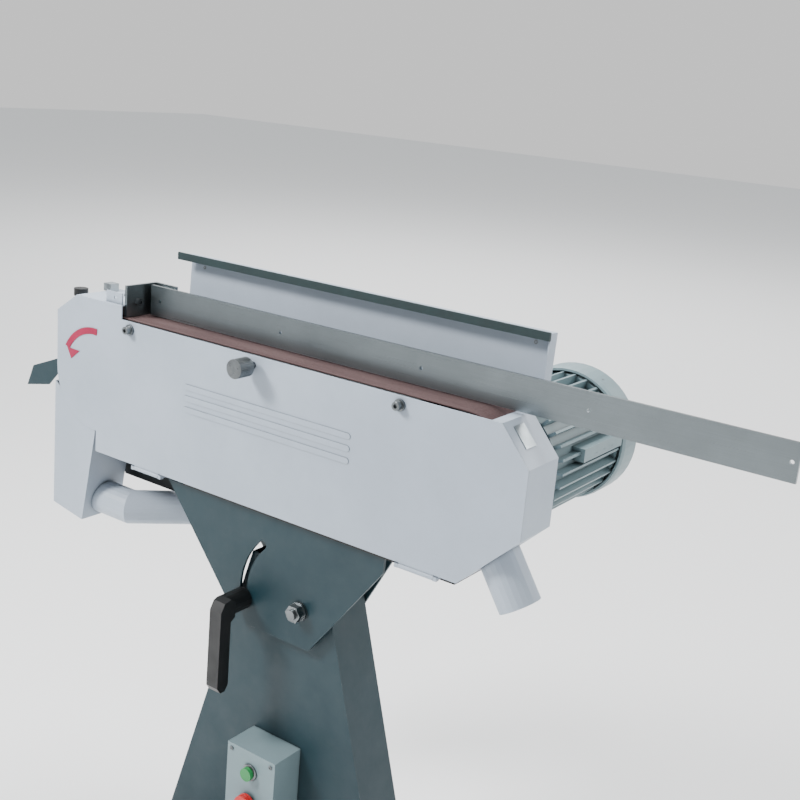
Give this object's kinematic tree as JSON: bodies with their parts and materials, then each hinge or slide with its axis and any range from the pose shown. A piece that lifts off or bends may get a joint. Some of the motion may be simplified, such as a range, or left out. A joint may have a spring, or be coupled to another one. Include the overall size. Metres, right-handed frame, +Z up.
{
  "type": "belt grinder",
  "caption": "Belt grinder on a sheet pedestal: a tilting arm carries an abrasive belt over a flat platen, with a motor, hinged door, long fence and folding spark guard.",
  "frame": {"origin": "On the floor under the middle of the base plate.", "axes": "+X along the belt toward the motor's end, +Y from the door toward the motor, +Z up"},
  "size_m": [1.3295, 0.509, 1.0685],
  "materials": {
    "petrol_paint": "powder coat, satin",
    "housing_paint": "powder coat, semi-gloss",
    "motor_enamel": "enamel",
    "ground_steel": "ground",
    "bright_steel": "zinc plated",
    "dark_steel": "dark paint",
    "cast_metal": "machined casting",
    "wheel_rubber": "vulcanised",
    "abrasive_cloth": "coated abrasive grain",
    "black_plastic": "moulded",
    "edging_rubber": "extruded",
    "arrow_film": "printed film",
    "blank_label": "satin",
    "red_plastic": "moulded",
    "green_plastic": "moulded"
  },
  "bodies": {
    "stand": {"base_plate": "petrol_paint", "column": "petrol_paint", "switch_box": "motor_enamel", "cable_gland": "black_plastic", "pivot_bolt": "bright_steel", "pivot_nut": "bright_steel", "pivot_spacer": "bright_steel", "clamp_stud": "bright_steel"},
    "start_push": {"start_button": "green_plastic"},
    "stop_push": {"stop_button": "red_plastic"},
    "clamp": {"clamp_lever": "black_plastic"},
    "arm": {"front_bracket": "petrol_paint", "rear_bracket": "petrol_paint", "backbone": "dark_steel", "floor_tray": "dark_steel", "platen": "ground_steel", "platen_rail": "dark_steel", "abrasive_belt": "abrasive_cloth", "slide_guide": "dark_steel", "motor_flange": "motor_enamel", "motor_body": "motor_enamel", "motor_end_shield": "motor_enamel", "motor_cowl": "motor_enamel", "terminal_box": "black_plastic", "left_hood": "housing_paint", "hood_fitting": "blank_label", "spark_spout": "petrol_paint", "dust_chute": "housing_paint", "left_duct": "housing_paint", "right_hood": "housing_paint", "rating_plate": "blank_label", "right_duct": "housing_paint", "fence_rail": "ground_steel", "stop_angle": "ground_steel", "fence_spacer": "ground_steel", "fence_screw": "bright_steel", "guard_pin": "bright_steel", "guard_bracket": "dark_steel", "door_hinge_left": "housing_paint", "door_hinge_right": "housing_paint"},
    "drive": {"drive_wheel_hub": "cast_metal", "drive_wheel_tyre": "wheel_rubber", "motor_shaft": "bright_steel", "motor_rotor": "bright_steel", "motor_fan": "black_plastic"},
    "slide": {"slide_block": "dark_steel", "contact_axle": "bright_steel", "contact_bearing": "bright_steel"},
    "contact_wheel": {"contact_wheel_hub": "cast_metal", "contact_wheel_tyre": "wheel_rubber"},
    "tension": {"tension_lever": "black_plastic"},
    "tracking": {"tracking_knob": "black_plastic"},
    "guard": {"spark_guard": "housing_paint", "guard_edging": "edging_rubber"},
    "door": {"front_door": "housing_paint", "direction_arrow": "arrow_film", "door_screw_left": "bright_steel", "door_screw_right": "bright_steel"},
    "knob": {"door_knob": "bright_steel"}
  },
  "joints": [
    {"name": "arm_tilt", "type": "hinge", "parent": "stand", "child": "arm", "pos_m": [0.041, -0.008, 0.575], "axis": [0, -1, 0], "range_deg": [0, 50]},
    {"name": "clamp_turn", "type": "hinge", "parent": "stand", "child": "clamp", "pos_m": [-0.075, -0.078, 0.558], "axis": [0, 1, 0], "range_deg": [-45, 45]},
    {"name": "start_press", "type": "slide", "parent": "stand", "child": "start_push", "axis": [0, 1, 0], "range_m": [0, 0.004], "stiffness_N_per_m": 150, "springref_m": -0.002},
    {"name": "stop_press", "type": "slide", "parent": "stand", "child": "stop_push", "axis": [0, 1, 0], "range_m": [0, 0.004], "stiffness_N_per_m": 150, "springref_m": -0.002},
    {"name": "drive_spin", "type": "hinge", "parent": "arm", "child": "drive", "pos_m": [0.306, -0.033, 0.871], "axis": [0, -1, 0], "continuous": true},
    {"name": "tension_slide", "type": "slide", "parent": "arm", "child": "slide", "axis": [1, 0, 0], "range_m": [0, 0.0102]},
    {"name": "contact_spin", "type": "hinge", "parent": "slide", "child": "contact_wheel", "pos_m": [-0.414, -0.033, 0.871], "axis": [0, -1, 0], "continuous": true},
    {"name": "tension_turn", "type": "hinge", "parent": "arm", "child": "tension", "pos_m": [-0.316, 0.027, 0.871], "axis": [0, -1, 0], "range_deg": [0, 80]},
    {"name": "tracking_turn", "type": "hinge", "parent": "arm", "child": "tracking", "pos_m": [-0.492, -0.047, 0.98], "axis": [0, 0, 1], "range_deg": [-180, 180]},
    {"name": "guard_fold", "type": "hinge", "parent": "arm", "child": "guard", "pos_m": [0.022, 0.04, 0.964], "axis": [1, 0, 0], "range_deg": [0, 36]},
    {"name": "door_open", "type": "hinge", "parent": "arm", "child": "door", "pos_m": [-0.072, -0.077, 0.7155], "axis": [1, 0, 0], "range_deg": [0, 110]},
    {"name": "knob_turn", "type": "hinge", "parent": "door", "child": "knob", "pos_m": [-0.067, -0.078, 0.946], "axis": [0, 1, 0], "range_deg": [0, 180]}
  ],
  "couplings": [
    {"joint": "contact_spin", "follows": "drive_spin", "ratio": 1},
    {"joint": "tension_slide", "follows": "tension_turn", "m_per_rad": 0.007162}
  ]
}
